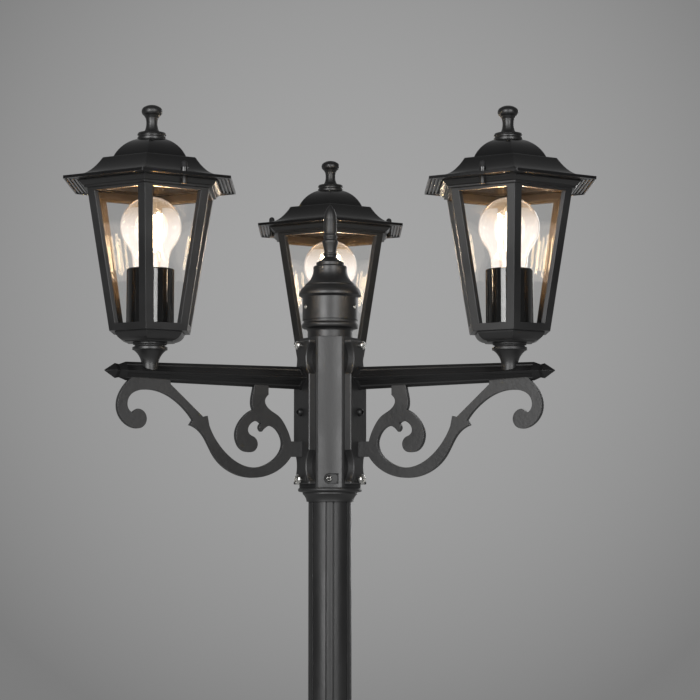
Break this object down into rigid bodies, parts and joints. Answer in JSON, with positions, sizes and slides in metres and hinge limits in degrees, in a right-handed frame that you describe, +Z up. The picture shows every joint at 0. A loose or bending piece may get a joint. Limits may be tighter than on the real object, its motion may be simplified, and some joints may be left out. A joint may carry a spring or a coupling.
{
  "type": "garden lamp post",
  "caption": "Garden lamp post: hexagonal lanterns on scroll-bracketed arms around a hub, with clear panes, screw-in bulbs and domed roofs, on a fluted tube with a bolt-down base.",
  "frame": {"origin": "centre of the anchor hole circle on the underside of the base, on the ground under the post's axis", "axes": "+Z up along the post, +Y out along the rear arm, so the other two arms point forward to -X and +X"},
  "size_m": [0.5178, 0.4955, 1.9994],
  "materials": {
    "black_casting": "satin black powder coat with a fine grain",
    "black_screw": "black oxide, satin",
    "bright_screw": "bright zinc plate",
    "plated_steel": "nickel plate",
    "clear_glass": "clear, smooth",
    "holder_plastic": "glossy black moulding",
    "terminal_plastic": "plain cream moulding",
    "filament": "coated filaments on a clear mount, lit warm white"
  },
  "bodies": {
    "root": {"post_base": "black_casting", "base_set_screws": "black_screw", "post_tube": "black_casting", "post_collar": "black_casting", "hub_core": "black_casting", "hub_neck": "black_casting", "terminal_block": "terminal_plastic", "hub_cap": "black_casting", "hub_spear": "black_casting", "plate_screws": "bright_screw", "arm_bolts": "black_screw", "hub_screws": "bright_screw", "cap_screws": "bright_screw", "stem_nuts": "plated_steel", "roof_knobs": "black_screw", "rear_arm": "black_casting", "rear_arm_plate": "black_casting", "rear_scroll": "black_casting", "rear_lantern_foot": "black_casting", "rear_lantern_bowl": "black_casting", "rear_lantern_cage": "black_casting", "rear_lantern_panes": "clear_glass", "rear_lantern_stem": "plated_steel", "rear_lamp_holder": "holder_plastic", "rear_bulb_cap": "plated_steel", "rear_bulb_filament": "filament", "rear_bulb_glass": "clear_glass", "rear_lantern_roof": "black_casting", "rear_roof_finial": "black_casting", "left_arm": "black_casting", "left_arm_plate": "black_casting", "left_scroll": "black_casting", "left_lantern_foot": "black_casting", "left_lantern_bowl": "black_casting", "left_lantern_cage": "black_casting", "left_lantern_panes": "clear_glass", "left_lantern_stem": "plated_steel", "left_lamp_holder": "holder_plastic", "left_bulb_cap": "plated_steel", "left_bulb_filament": "filament", "left_bulb_glass": "clear_glass", "left_lantern_roof": "black_casting", "left_roof_finial": "black_casting", "right_arm": "black_casting", "right_arm_plate": "black_casting", "right_scroll": "black_casting", "right_lantern_foot": "black_casting", "right_lantern_bowl": "black_casting", "right_lantern_cage": "black_casting", "right_lantern_panes": "clear_glass", "right_lantern_stem": "plated_steel", "right_lamp_holder": "holder_plastic", "right_bulb_cap": "plated_steel", "right_bulb_filament": "filament", "right_bulb_glass": "clear_glass", "right_lantern_roof": "black_casting", "right_roof_finial": "black_casting"}
  },
  "joints": []
}
